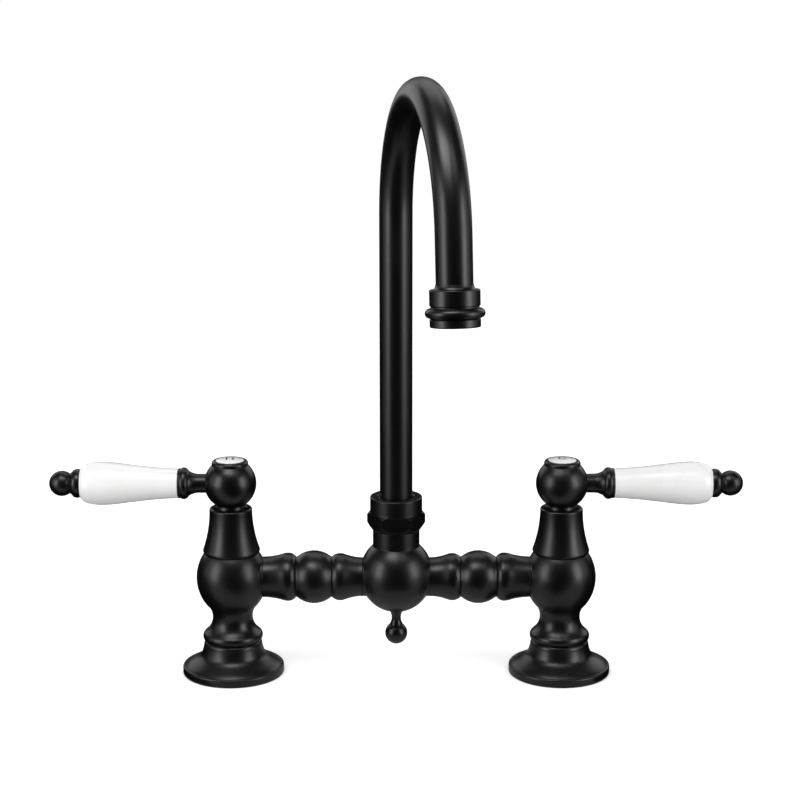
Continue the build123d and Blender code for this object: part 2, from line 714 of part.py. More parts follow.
def make_porcelain_lever(side, way):
    """Pear-shaped glazed grip, bored for the rod."""
    x = pillar_x(way)
    bore = rod_r + porcelain_bore_gap
    run = porcelain_widest - porcelain_start
    tail = porcelain_end - porcelain_widest
    swell = porcelain_r - porcelain_start_r
    with BuildPart() as grip:
        with BuildSketch(level(x, lever_height, way)):
            with BuildLine():
                Polyline((porcelain_end, bore), (porcelain_start, bore),
                         (porcelain_start, porcelain_start_r - 0.3),
                         (porcelain_start + 0.3, porcelain_start_r))
                Spline((porcelain_start + 0.3, porcelain_start_r),
                       (porcelain_start + 0.28 * run, porcelain_start_r + 0.2 * swell),
                       (porcelain_start + 0.71 * run, porcelain_start_r + 0.73 * swell),
                       (porcelain_widest, porcelain_r),
                       (porcelain_widest + 0.58 * tail, porcelain_r - 0.19 * swell),
                       (porcelain_end - 0.05 * tail, porcelain_end_r + 0.5),
                       tangents=((1, 0.06), (0.35, -1)))
                Line((porcelain_end - 0.05 * tail, porcelain_end_r + 0.5),
                     (porcelain_end, porcelain_end_r))
                Line((porcelain_end, porcelain_end_r), (porcelain_end, bore))
            make_face()
        revolve(axis=Axis((x, 0, lever_height), (1, 0, 0)))
    save(grip, f"{side}_porcelain_lever")


def make_lever_finial(side, way):
    """End collar and ball, screwed on the rod to hold the porcelain."""
    x = pillar_x(way)
    bore = rod_r + thread_gap
    collar_end = porcelain_end + 5.2
    neck_end = finial_ball - sqrt(finial_ball_r**2 - finial_neck_r**2)
    with BuildPart() as finial:
        with BuildSketch(level(x, lever_height, way)):
            with BuildLine():
                Polyline((rod_hole_end, 0), (rod_hole_end, bore), (porcelain_end, bore),
                         (porcelain_end, collar_r - 0.5))
                ThreePointArc((porcelain_end, collar_r - 0.5), (porcelain_end + 2.7, collar_r),
                              (collar_end - 0.6, collar_r - 0.6))
                ThreePointArc((collar_end - 0.6, collar_r - 0.6),
                              (collar_end + 0.1, collar_r - 1.5), (neck_end, finial_neck_r))
                ThreePointArc((neck_end, finial_neck_r), (finial_ball, finial_ball_r),
                              (finial_ball + finial_ball_r, 0))
                Line((finial_ball + finial_ball_r, 0), (rod_hole_end, 0))
            make_face()
        revolve(axis=Axis((x, 0, lever_height), (1, 0, 0)))
    save(finial, f"{side}_lever_finial")


def make_lever_rod(side, way):
    """Threaded rod from the hub, through neck and porcelain, into the finial."""
    start = rod_start + face_gap
    end = rod_hole_end - face_gap
    with BuildPart() as rod:
        with BuildSketch(Plane(origin=(pillar_x(way) + way * start, 0, lever_height),
                               z_dir=(way, 0, 0))):
            Circle(rod_r)
        extrude(amount=end - start)
        chamfer(rod.edges().filter_by(GeomType.CIRCLE), 0.5)
    save(rod, f"{side}_lever_rod")


# ---------------------------------------------------------------- bridge arms

def make_arm_collar(name, way, toward, near_r, bulge_r, reach):
    """Tapered collar beside the bridge ball, up to `reach` from it along `toward`."""
    x = way * tap_centres / 4
    bulge = collar_start + collar_bulge
    run = reach - 0.4 - bulge
    with BuildPart() as collar:
        with BuildSketch(level(x, bridge_height, toward)):
            with BuildLine():
                Polyline((reach, bridge_tube_r + thread_gap),
                         (collar_start, bridge_tube_r + thread_gap), (collar_start, groove_r - 0.5),
                         (collar_start + 0.5, groove_r + 0.1))
                ThreePointArc((collar_start + 0.5, groove_r + 0.1),
                              (collar_start + 2.2, bulge_r - 0.6), (bulge, bulge_r))
                Spline((bulge, bulge_r), (bulge + 0.3 * run, bulge_r - 0.93),
                       (bulge + 0.67 * run, near_r + 0.35), (reach - 0.4, near_r),
                       tangents=((1, 0), (1, 0)))
                Line((reach - 0.4, near_r), (reach, near_r - 0.3))
                Line((reach, near_r - 0.3), (reach, bridge_tube_r + thread_gap))
            make_face()
        revolve(axis=Axis((x, 0, bridge_height), (1, 0, 0)))
    save(collar, name)


def make_bridge_ball(side, way):
    """Ball in the middle of the arm, with a short neck each side."""
    x = way * tap_centres / 4
    with BuildPart() as ball:
        with BuildSketch(level(x, bridge_height, way)):
            with BuildLine():
                Polyline((-ball_corner, groove_r), (-collar_start, groove_r - 0.5),
                         (-collar_start, bridge_tube_r + thread_gap),
                         (collar_start, bridge_tube_r + thread_gap), (collar_start, groove_r - 0.5),
                         (ball_corner, groove_r))
                ThreePointArc((ball_corner, groove_r), (0, bridge_ball_r),
                              (-ball_corner, groove_r))
            make_face()
        revolve(axis=Axis((x, 0, bridge_height), (1, 0, 0)))
    save(ball, f"{side}_bridge_ball")


def make_bridge_tube(side, way):
    """Brass tube through the arm that carries the water to the middle body."""
    start = inner_boss - bridge_tube_seat + face_gap
    end = tap_centres / 2 - outer_boss + bridge_tube_seat - face_gap
    with BuildPart() as tube:
        with BuildSketch(Plane(origin=(way * start, 0, bridge_height), z_dir=(way, 0, 0))):
            Circle(bridge_tube_r)
            Circle(port_r, mode=Mode.SUBTRACT)
        extrude(amount=end - start)
    save(tube, f"{side}_bridge_tube")


def make_union_rings():
    """Rubber rings round the bridge tubes, one in the face of each boss."""
    ring_centre = bridge_tube_r + union_ring_r + drop_gap / 2
    with BuildPart() as rings:
        for _, way in SIDES:
            for x in (inner_boss - union_ring_r, tap_centres / 2 - outer_boss + union_ring_r):
                with Locations(Plane(origin=(way * x, 0, bridge_height), z_dir=(1, 0, 0))):
                    Torus(ring_centre, union_ring_r - thread_gap)
    save(rings, "union_rings")


# ---------------------------------------------------------------- middle body

def body_arc(radius):
    """How far above or below its widest level the middle ball has this radius."""
    return body_ball_half * sqrt(1 - (radius / body_ball_r) ** 2)


ball_height = bridge_height + body_ball_rise
neck_foot = ball_height + body_arc(body_neck_r)
body_neck_top = neck_foot + body_neck_length
body_top = body_neck_top + body_thread_length
spout_bore_floor = body_top - spout_bore_depth
nut_hex_top = body_neck_top + nut_hex_height
nut_top = body_neck_top + nut_height
drop_seat = ball_height - body_arc(drop_flare_r + 0.2)
drop_ball_height = drop_seat - drop_ball_drop
flange_floor = body_top + thrust_thickness
nut_shoulder = flange_floor + spigot_flange_height + face_gap


def make_centre_body():
    """Ball with a neck and thread for the spout nut, a boss to each arm, water ways."""
    stud_hole = drop_stud_length + face_gap
    low_turn = turn_at(drop_flare_r + 0.2, body_ball_r)
    with BuildPart() as body:
        with BuildSketch(upright()):
            with BuildLine():
                Line((0, drop_seat), (drop_flare_r + 0.2, drop_seat))
                EllipticalCenterArc((0, ball_height), body_ball_r, body_ball_half, -low_turn,
                                    arc_size=low_turn + turn_at(body_neck_r, body_ball_r))
                Polyline((body_neck_r, neck_foot), (body_neck_r, body_neck_top - 0.4),
                         (body_neck_r - 0.4, body_neck_top), (body_thread_r, body_neck_top),
                         (body_thread_r, body_top), (0, body_top), (0, drop_seat))
            make_face()
        revolve(axis=Axis.Z)
        for way in (-1, 1):
            with BuildSketch(Plane(origin=(0, 0, bridge_height), z_dir=(way, 0, 0))):
                Circle(inner_collar_r)
            extrude(amount=inner_boss)
        for radius, low, high in ((spout_bore_r, spout_bore_floor, body_top),
                                  (body_chamber_r, bridge_height - body_chamber_drop,
                                   spout_bore_floor),
                                  (drop_stud_r + thread_gap, drop_seat, drop_seat + stud_hole)):
            with BuildSketch(Plane.XY.offset(low)):
                Circle(radius)
            extrude(amount=high - low, mode=Mode.SUBTRACT)
        for way in (-1, 1):
            face = Plane(origin=(way * inner_boss, 0, bridge_height), z_dir=(-way, 0, 0))
            with BuildSketch(face):
                Circle(inner_collar_r)
            extrude(amount=-body_ball_r / 2, mode=Mode.SUBTRACT)
            ring_r = bridge_tube_r + 2 * union_ring_r + drop_gap
            for radius, depth in ((port_r, inner_boss),
                                  (bridge_tube_r + thread_gap, bridge_tube_seat),
                                  (ring_r, 2 * union_ring_r)):
                with BuildSketch(face):
                    Circle(radius)
                extrude(amount=depth, mode=Mode.SUBTRACT)
    save(body, "centre_body")


def make_drop_finial():
    """Small turned drop screwed into the underside of the middle ball."""
    join_r = 4.4
    join = drop_ball_height + sqrt(drop_ball_r**2 - join_r**2)
    waist = drop_seat - 5.0
    with BuildPart() as drop:
        with BuildSketch(upright()):
            with BuildLine():
                Line((0, drop_seat), (drop_flare_r, drop_seat))
                ThreePointArc((drop_flare_r, drop_seat), (drop_neck_r + 0.5, drop_seat - 2.2),
                              (drop_neck_r, waist))
                ThreePointArc((drop_neck_r, waist), (drop_neck_r + 0.35, waist - 2.4),
                              (join_r, join))
                ThreePointArc((join_r, join), (drop_ball_r, drop_ball_height),
                              (0, drop_ball_height - drop_ball_r))
                Line((0, drop_ball_height - drop_ball_r), (0, drop_seat))
            make_face()
        revolve(axis=Axis.Z)
        with BuildSketch(Plane.XY.offset(drop_seat)):
            Circle(drop_stud_r)
        extrude(amount=drop_stud_length)
    save(drop, "drop_finial")


def make_spout_nut():
    """Union nut: chamfered hexagon below, plain collar above, lip over the spigot."""
    corner_r = nut_af / sqrt(3)
    low = body_neck_top
    bore = body_thread_r + thread_gap
    with BuildPart() as nut:
        with BuildSketch(Plane.XY.offset(low)):
            RegularPolygon(nut_af / 2, 6, major_radius=False)
        extrude(amount=nut_hex_top - low)
        # the hexagon's corners are turned down to cones above and below
        with BuildSketch(upright()):
            with BuildLine():
                Polyline((0, low), (nut_af / 2 - 0.9, low), (corner_r + 0.1, low + 4.6),
                         (corner_r + 0.1, nut_hex_top - 2.2), (nut_af / 2 + 0.3, nut_hex_top),
                         (0, nut_hex_top), close=True)
            make_face()
        revolve(axis=Axis.Z, mode=Mode.INTERSECT)
        with BuildSketch(Plane.XY.offset(nut_hex_top - 1)):
            Circle(nut_collar_r)
        extrude(amount=nut_top - nut_hex_top + 1)
        fillet(nut.edges().filter_by(GeomType.CIRCLE).group_by(Axis.Z)[-1], 0.8)
        for radius, base, top in ((bore, low, nut_shoulder), (nut_hole_r, low, nut_top)):
            with BuildSketch(Plane.XY.offset(base)):
                Circle(radius)
            extrude(amount=top - base, mode=Mode.SUBTRACT)
        mouth = nut.edges().filter_by(GeomType.CIRCLE).group_by(Axis.Z)[-1]
        chamfer(mouth.sort_by(SortBy.RADIUS)[0], 0.4)
    save(nut, "spout_nut")


def make_ring(name, outer, inner, low, high):
    """Plain ring on the spout's axis."""
    with BuildPart() as ring:
        with BuildSketch(Plane.XY.offset(low)):
            Circle(outer)
            Circle(inner, mode=Mode.SUBTRACT)
        extrude(amount=high - low)
    save(ring, name)


# ---------------------------------------------------------------- spout

def spout_frame():
    """Upright plane of the gooseneck: sketch X points out over the sink, Y up."""
    out = (sin(radians(spout_yaw)), -cos(radians(spout_yaw)), 0)
    return Plane(origin=(0, 0, 0), x_dir=out, z_dir=Vector(*out).cross(Vector(0, 0, 1)))


def outlet_plane():
    """Plane of the outlet, with its Z back up along the tube's last straight."""
    bend = radians(arch_angle)
    reach = arch_r * (1 - cos(bend)) + end_straight * sin(bend)
    height = arch_height + arch_r * sin(bend) + end_straight * cos(bend)
    frame = spout_frame()
    origin = frame.from_local_coords(Vector(reach, height, 0))
    up = frame.from_local_coords(Vector(-sin(bend), -cos(bend), 0)) - frame.origin
    return Plane(origin=origin, x_dir=frame.z_dir, z_dir=up)


def end_section():
    """Half section plane of the spout's end: sketch X is radius, Y up from the outlet."""
    outlet = outlet_plane()
    return Plane(origin=outlet.origin, x_dir=outlet.x_dir,
                 z_dir=outlet.x_dir.cross(outlet.z_dir))


def end_axis():
    outlet = outlet_plane()
    return Axis(outlet.origin, outlet.z_dir)


collar_floor = outlet_ring_height
bead_top = collar_floor + end_bead_height
collar_low = bead_top + end_groove
collar_top = collar_low + end_collar_height
thread_end = collar_floor + aerator_thread_length
washer_seat = thread_end + aerator_runout
tube_end = washer_seat + aerator_shoulder_height


def make_spout_tube():
    """Gooseneck tube: a straight riser, one bend and a short straight."""
    base = flange_floor + spigot_flange_height - tube_seat
    with BuildPart() as tube:
        with BuildLine(spout_frame()):
            Line((0, base), (0, arch_height))
            bend = CenterArc((arch_r, arch_height), arch_r, 180, -arch_angle)
            Line(bend @ 1, bend @ 1 + (bend % 1) * (end_straight - tube_end))
        with BuildSketch(Plane.XY.offset(base)):
            Circle(tube_r)
            Circle(tube_r - tube_wall, mode=Mode.SUBTRACT)
        sweep()
    print("spout tube volume", round(tube.part.volume, 1))
    save(tube, "spout_tube")


def make_spout_spigot():
    """Brass spigot brazed to the tube's foot: a flange under the nut, two ring grooves."""
    top = flange_floor + spigot_flange_height
    bottom = spout_bore_floor + spigot_foot_gap
    half = spout_ring_r + thread_gap
    seat_r = tube_r + thread_gap
    floor = top - tube_seat
    with BuildPart() as spigot:
        with BuildSketch(upright()):
            with BuildLine():
                Polyline((spigot_bore_r, bottom), (spigot_r - 0.6, bottom),
                         (spigot_r, bottom + 0.6), (spigot_r, flange_floor),
                         (spigot_flange_r, flange_floor), (spigot_flange_r, top), (seat_r, top),
                         (seat_r, floor), (spigot_bore_r, floor), close=True)
            make_face()
            with Locations(*[(spigot_r, z) for z in spout_ring_heights()]):
                Rectangle(4 * spout_ring_r, 2 * half, mode=Mode.SUBTRACT)
        revolve(axis=Axis.Z)
    save(spigot, "spout_spigot")


def spout_ring_heights():
    """Levels of the two seal rings on the spigot."""
    span = flange_floor - spout_bore_floor
    return (spout_bore_floor + 0.32 * span, spout_bore_floor + 0.66 * span)


def make_spout_rings():
    """Rubber rings that seal the swinging spigot in the body's bore."""
    with BuildPart() as rings:
        with Locations(*[(0, 0, z) for z in spout_ring_heights()]):
            Torus(spigot_r - spout_ring_r, spout_ring_r)
    save(rings, "spout_rings")


def make_spout_end_collar():
    """Collar and bead at the tube's end, flared onto the tube, threaded underneath."""
    flare_top = collar_top + end_flare_height
    seat = tube_r + thread_gap
    thread = aerator_thread_r + thread_gap
    middle = collar_floor + end_bead_height / 2
    shoulder = aerator_bore_r - aerator_shoulder
    with BuildPart() as collar:
        with BuildSketch(end_section()):
            with BuildLine():
                Line((thread, collar_floor), (outlet_r - 0.4, collar_floor))
                Line((outlet_r - 0.4, collar_floor), (outlet_r, collar_floor + 0.3))
                ThreePointArc((outlet_r, collar_floor + 0.3), (end_bead_r, middle),
                              (outlet_r, bead_top - 0.3))
                Polyline((outlet_r, bead_top - 0.3), (outlet_r - 0.6, bead_top),
                         (outlet_r - 0.6, collar_low), (outlet_r, collar_low + 0.3),
                         (outlet_r, collar_top - 0.6))
                RadiusArc((outlet_r, collar_top - 0.6), (outlet_r - 0.6, collar_top), -0.6)
                Line((outlet_r - 0.6, collar_top), (end_flare_r, collar_top))
                ThreePointArc((end_flare_r, collar_top), (tube_r + 0.75, collar_top + 0.9),
                              (tube_r + 0.3, flare_top))
                Polyline((tube_r + 0.3, flare_top), (seat, flare_top), (seat, tube_end),
                         (shoulder, tube_end), (shoulder, washer_seat), (thread, washer_seat),
                         (thread, collar_floor))
            make_face()
        revolve(axis=end_axis())
    save(collar, "spout_end_collar")


def make_aerator_housing():
    """Outlet ring that screws up into the collar and holds the insert."""
    ledge = aerator_ledge
    with BuildPart() as housing:
        with BuildSketch(end_section()):
            with BuildLine():
                Polyline((aerator_bore_r - ledge, 0), (outlet_r - 0.7, 0))
                RadiusArc((outlet_r - 0.7, 0), (outlet_r, 0.7), -0.7)
                Polyline((outlet_r, 0.7), (outlet_r, collar_floor - 0.4),
                         (outlet_r - 0.4, collar_floor), (aerator_thread_r, collar_floor),
                         (aerator_thread_r, thread_end), (aerator_bore_r, thread_end),
                         (aerator_bore_r, ledge), (aerator_bore_r - ledge, ledge),
                         (aerator_bore_r - ledge, 0))
            make_face()
        revolve(axis=end_axis())
    save(housing, "aerator_housing")


def make_aerator_insert():
    """Plastic spray insert: a cup with a plate full of small jets."""
    low = outlet_plane().offset(aerator_ledge)
    height = washer_seat - aerator_washer_thickness - aerator_ledge
    cup_r = aerator_bore_r - drop_gap / 2
    with BuildPart() as insert:
        with BuildSketch(low):
            Circle(cup_r)
        extrude(amount=height)
        with BuildSketch(low.offset(aerator_plate)):
            Circle(cup_r - aerator_cup_wall)
        extrude(amount=height - aerator_plate, mode=Mode.SUBTRACT)
        with BuildSketch(low):
            Circle(jet_r)
            with PolarLocations(jet_circle_r, 6):
                Circle(jet_r)
            with PolarLocations(2 * jet_circle_r, 12):
                Circle(jet_r)
        extrude(amount=aerator_plate, mode=Mode.SUBTRACT)
    save(insert, "aerator_insert")


def make_aerator_washer():
    """Rubber washer between the aerator and the collar's inner shoulder."""
    low = washer_seat - aerator_washer_thickness
    with BuildPart() as washer:
        with BuildSketch(outlet_plane().offset(low)):
            Circle(aerator_bore_r - drop_gap / 2)
            Circle(aerator_bore_r - aerator_washer_width, mode=Mode.SUBTRACT)
        extrude(amount=aerator_washer_thickness)
    save(washer, "aerator_washer")


# ---------------------------------------------------------------- build everything

for side, way in SIDES:
    make_flange(side, way)
    make_valve_body(side, way)
    make_bonnet(side, way)
    make_shank(side, way)
    make_cartridge_body(side, way)
    make_moving_disc(side, way)
    make_spindle(side, way)
    make_spindle_ring(side, way)
    make_handle_hub(side, way)
    make_handle_screw(side, way)
    make_button_and_letter(side, way)
    make_lever_neck(side, way)
    make_porcelain_lever(side, way)
    make_lever_finial(side, way)
    make_lever_rod(side, way)
    make_arm_collar(f"{side}_outer_collar", way, way, outer_collar_r, outer_collar_bulge_r,
                    tap_centres / 4 - outer_boss)
    make_arm_collar(f"{side}_inner_collar", way, -way, inner_collar_r, inner_collar_bulge_r,
                    tap_centres / 4 - inner_boss)
    make_bridge_ball(side, way)
    make_bridge_tube(side, way)

under_deck = -deck_thickness
make_deck_rings("flange_gaskets", flange_r - gasket_margin, shank_r + drop_gap, 0, gasket_thickness)
make_deck_rings("rubber_washers", washer_r, shank_r + drop_gap,
                under_deck - rubber_washer_thickness, under_deck)
make_deck_rings("clamp_washers", washer_r, shank_r + drop_gap,
                under_deck - rubber_washer_thickness - clamp_washer_thickness,
                under_deck - rubber_washer_thickness)
make_backnuts()
make_fixed_discs()
make_deck_rings("disc_seals", disc_pocket_r - drop_gap, inlet_r, chamber_floor, disc_floor)
make_union_rings()
make_centre_body()
make_drop_finial()
make_spout_nut()
make_ring("spout_thrust_washer", spigot_flange_r, spout_bore_r + drop_gap, body_top, flange_floor)
make_ring("spout_guide_bush", nut_hole_r - thread_gap, tube_r + turn_gap,
          nut_shoulder + 0.1, nut_shoulder + 0.1 + bush_height)
make_spout_tube()
make_spout_spigot()
make_spout_rings()
make_spout_end_collar()
make_aerator_housing()
make_aerator_insert()
make_aerator_washer()
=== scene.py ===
# %% [markdown]
# A bridge kitchen faucet with two porcelain levers, finished in Blender around its CAD model.
# The CAD nodes already have the turned shapes, so most of this lesson is about finishes:
# what each material is on the real tap, and which nodes give that look. The pipe threads
# are the one shape that the CAD model leaves plain, so they are modelled here.

# %% Load the frame
import json
import math

import bpy
from mathutils import Matrix, Vector


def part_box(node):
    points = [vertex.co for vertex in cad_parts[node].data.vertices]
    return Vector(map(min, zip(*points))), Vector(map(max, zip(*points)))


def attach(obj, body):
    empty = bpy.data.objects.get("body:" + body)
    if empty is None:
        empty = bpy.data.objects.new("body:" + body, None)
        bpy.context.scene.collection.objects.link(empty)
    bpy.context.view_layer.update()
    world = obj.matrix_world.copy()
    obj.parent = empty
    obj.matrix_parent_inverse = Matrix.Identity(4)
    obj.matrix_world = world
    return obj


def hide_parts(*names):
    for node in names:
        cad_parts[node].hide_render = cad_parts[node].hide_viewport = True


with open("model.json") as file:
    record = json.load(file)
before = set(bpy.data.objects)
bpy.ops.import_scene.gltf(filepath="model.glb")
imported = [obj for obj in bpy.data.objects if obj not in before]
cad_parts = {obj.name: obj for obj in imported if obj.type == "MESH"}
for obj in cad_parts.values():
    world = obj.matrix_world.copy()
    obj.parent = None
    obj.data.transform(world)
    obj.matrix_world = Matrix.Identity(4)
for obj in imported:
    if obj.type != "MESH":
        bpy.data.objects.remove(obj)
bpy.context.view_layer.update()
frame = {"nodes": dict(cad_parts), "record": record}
cad = frame["nodes"]
MM = 0.001

# %% [markdown]
# A plain Blender starts with a cube, a lamp and a camera, which would show in the render, so
# they are removed. Where it starts empty, there is nothing to remove. The scene keeps the
# Standard view, which shows white as white, as the photograph's studio ground is. A filmic
# view would turn that ground a light grey.

# %% Clear the start-up scene
for name in ("Cube", "Light", "Camera"):
    if name in bpy.data.objects:
        bpy.data.objects.remove(bpy.data.objects[name])
bpy.context.scene.view_settings.view_transform = "Standard"

# %% [markdown]
# The photograph was taken with a long lens from 1.3 m away, a little above the tap. Its
# camera was worked out from points of the picture, such as the pillars' spacing, so the same
# place and lens are used here. There is no lens shift, because views from other sides keep it.

# %% Place the camera
CAMERA_PLACE = Vector((0.0024, -1.2371, 0.4593))
CAMERA_DIP = 13.00
CAMERA_ROLL = 0.03
SENSOR_WIDTH = 36  # mm
IMAGE_PIXELS = 800
FOCAL_PIXELS = 2092

camera_data = bpy.data.cameras.new("photo_camera")
camera = bpy.data.objects.new("photo_camera", camera_data)
bpy.context.scene.collection.objects.link(camera)
camera_data.sensor_width = SENSOR_WIDTH
camera_data.lens = SENSOR_WIDTH * FOCAL_PIXELS / IMAGE_PIXELS
camera.matrix_world = (Matrix.Translation(CAMERA_PLACE)
                       @ Matrix.Rotation(math.radians(90 - CAMERA_DIP), 4, "X")
                       @ Matrix.Rotation(math.radians(-CAMERA_ROLL), 4, "Z"))
bpy.context.scene.camera = camera
print("lens", round(camera_data.lens, 1), "mm")

# %% [markdown]
# Every material is a small graph of nodes. One helper adds a node, sets what is given and
# joins what is another node's output. Colours are written as the hex values a painter would
# read off a screen, and one function turns them into the linear light that Blender mixes.
#
# A node's sockets are called by name, except where two of them share one. A Mix node of
# colours has its factor and two colours at 0, 6 and 7, and gives the mix at 2. Math and
# Add Shader nodes take their two values at 0 and 1.

# %% Colour and node helpers
FACTOR, COLOUR_A, COLOUR_B, MIXED = 0, 6, 7, 2
LEFT, RIGHT = 0, 1
NOISE_LOW, NOISE_HIGH = 0.3, 0.7  # a noise texture seldom leaves this range


def linear(hex_colour):
    """An sRGB hex colour as the linear RGBA that a shader mixes."""
    parts = [int(hex_colour[i:i + 2], 16) / 255 for i in (1, 3, 5)]
    return [v / 12.92 if v <= 0.04045 else ((v + 0.055) / 1.055) ** 2.4 for v in parts] + [1.0]


def add_node(tree, kind, sockets=None, **settings):
    """Add one shader node. A socket is given a value, or another node's output to link."""
    made = tree.nodes.new("ShaderNode" + kind)
    for name, value in settings.items():
        setattr(made, name, value)
    for name, value in (sockets or {}).items():
        if isinstance(value, bpy.types.NodeSocket):
            tree.links.new(value, made.inputs[name])
        else:
            made.inputs[name].default_value = value
    return made


def new_material(name):
    """An empty material, its tree, its place on the object in metres, and its output."""
    material = bpy.data.materials.new(name)
    material.use_nodes = True
    tree = material.node_tree
    tree.nodes.clear()
    place = add_node(tree, "TexCoord").outputs["Object"]
    output = add_node(tree, "OutputMaterial").inputs["Surface"]
    return material, tree, place, output


print("mid grey is", round(linear("#808080")[0], 3), "in linear light")

# %% [markdown]
# Satin black coat. The tap is brass, covered by a thin baked electro-coat. It is nearly
# black, a dielectric with an index of 1.5, and its broad soft highlights come from a
# roughness of about a third. Close up the film has a faint orange peel about a millimetre
# across, and the tone and gloss drift slowly over some centimetres. The coat draws back
# from sharp corners and rounds them. Fillets in the mesh could do that, but the CAD shapes
# stay as they are, so a Bevel node bends the light there instead: it gives the thin light
# lines along the rims and on the hexagon.

# %% Satin black coat
TONE_DRIFT = 22 * MM
ORANGE_PEEL, PEEL_DEPTH = 0.9 * MM, 0.05 * MM
FILM_GRIT = 0.25 * MM
GLOSSY_COAT, DULL_COAT = 0.31, 0.36  # roughness
EDGE_ROUND = 0.6 * MM


def satin_black_coat():
    """A thin film: tone and gloss drift together, orange peel and grit are its relief."""
    material, tree, place, output = new_material("satin_black_electrocoat")
    drift = add_node(tree, "TexNoise", {"Vector": place, "Scale": 1 / TONE_DRIFT, "Detail": 3.0})
    peel = add_node(tree, "TexNoise", {"Vector": place, "Scale": 1 / ORANGE_PEEL, "Detail": 2.0})
    grit = add_node(tree, "TexNoise", {"Vector": place, "Scale": 1 / FILM_GRIT, "Detail": 1.0})
    tone = add_node(tree, "Mix", {FACTOR: drift.outputs["Fac"], COLOUR_A: linear("#030303"),
                                  COLOUR_B: linear("#060606")}, data_type="RGBA")
    gloss = add_node(tree, "MapRange", {
        "Value": drift.outputs["Fac"], "From Min": NOISE_LOW, "From Max": NOISE_HIGH,
        "To Min": GLOSSY_COAT, "To Max": DULL_COAT})
    film = add_node(tree, "Math", {LEFT: peel.outputs["Fac"], RIGHT: grit.outputs["Fac"]},
                    operation="ADD")
    edges = add_node(tree, "Bevel", {"Radius": EDGE_ROUND}, samples=6)
    bump = add_node(tree, "Bump", {"Height": film.outputs["Value"], "Strength": 0.12,
                                   "Distance": PEEL_DEPTH, "Normal": edges.outputs["Normal"]})
    shader = add_node(tree, "BsdfPrincipled", {
        "Base Color": tone.outputs[MIXED], "Roughness": gloss.outputs["Result"],
        "Normal": bump.outputs["Normal"], "IOR": 1.5, "Specular IOR Level": 0.4})
    tree.links.new(shader.outputs["BSDF"], output)
    return material


black_coat = satin_black_coat()
print(black_coat.name, "has", len(black_coat.node_tree.nodes), "nodes")

# %% [markdown]
# Glazed porcelain. The grips and index buttons are fired white clay under a clear glassy
# glaze. The clay is a neutral white that scatters light softly; the glaze is a smooth coat
# with sharper reflections, which wander a little because it pooled while it was molten.
# One glossy layer would look like plastic, so the shader's own coat is laid over a duller
# body.

# %% Glazed porcelain
CLAY_CLOUD = 14 * MM
GLAZE_POOL, POOL_DEPTH = 7 * MM, 0.08 * MM
SMOOTH_CLAY, ROUGH_CLAY = 0.22, 0.3  # roughness under the glaze


def glazed_porcelain():
    """White clay with a cloudy gloss, under a glaze whose pooling bends the reflections."""
    material, tree, place, output = new_material("glazed_porcelain")
    cloud = add_node(tree, "TexNoise", {"Vector": place, "Scale": 1 / CLAY_CLOUD, "Detail": 2.0})
    pool = add_node(tree, "TexNoise", {"Vector": place, "Scale": 1 / GLAZE_POOL, "Detail": 0.0})
    tone = add_node(tree, "Mix", {FACTOR: cloud.outputs["Fac"], COLOUR_A: linear("#e9e9e8"),
                                  COLOUR_B: linear("#eeeeee")}, data_type="RGBA")
    body = add_node(tree, "MapRange", {
        "Value": cloud.outputs["Fac"], "From Min": NOISE_LOW, "From Max": NOISE_HIGH,
        "To Min": SMOOTH_CLAY, "To Max": ROUGH_CLAY})
    bump = add_node(tree, "Bump", {"Height": pool.outputs["Fac"], "Strength": 0.25,
                                   "Distance": POOL_DEPTH})
    shader = add_node(tree, "BsdfPrincipled", {
        "Base Color": tone.outputs[MIXED], "Roughness": body.outputs["Result"],
        "Normal": bump.outputs["Normal"], "IOR": 1.5, "Specular IOR Level": 0.3,
        "Coat Weight": 0.25, "Coat Roughness": 0.12, "Coat IOR": 1.5,
        "Coat Normal": bump.outputs["Normal"]})
    tree.links.new(shader.outputs["BSDF"], output)
    return material


porcelain = glazed_porcelain()
print(porcelain.name, "has", len(porcelain.node_tree.nodes), "nodes")

# %% [markdown]
# Letter enamel. The H and the C are dark glass paste, fired into the marks sunk in the
# buttons. It is glossy like the glaze round it, with tiny specks where the pigment settled.
# A picture of the letters would blur close up; the marks are solids, so they take a finish.

# %% Letter enamel
PIGMENT_SPECK, SPECK_DEPTH = 0.3 * MM, 0.03 * MM


def fired_enamel():
    """Glossy dark glass with specks of pigment."""
    material, tree, place, output = new_material("fired_black_enamel")
    specks = add_node(tree, "TexNoise", {"Vector": place, "Scale": 1 / PIGMENT_SPECK,
                                         "Detail": 2.0})
    tone = add_node(tree, "Mix", {FACTOR: specks.outputs["Fac"], COLOUR_A: linear("#101114"),
                                  COLOUR_B: linear("#2a2b30")}, data_type="RGBA")
    bump = add_node(tree, "Bump", {"Height": specks.outputs["Fac"], "Strength": 0.1,
                                   "Distance": SPECK_DEPTH})
    shader = add_node(tree, "BsdfPrincipled", {
        "Base Color": tone.outputs[MIXED], "Roughness": 0.18, "Normal": bump.outputs["Normal"],
        "IOR": 1.52})
    tree.links.new(shader.outputs["BSDF"], output)
    return material


enamel = fired_enamel()
print(enamel.name, "has", len(enamel.node_tree.nodes), "nodes")

# %% [markdown]
# Turned metals. The brass inside and under the tap, and the stainless steel screws, rods
# and washers, were cut on a lathe. A lathe leaves fine grooves, and bare metal darkens in
# patches. Cutting the grooves in the mesh would take millions of faces, so wave bands, bent
# by noise so that no two look alike, move the gloss and the bump. A Wave texture makes about
# three bands to each unit of its scale: a unit of 0.35 mm gives grooves a tenth of a
# millimetre apart.

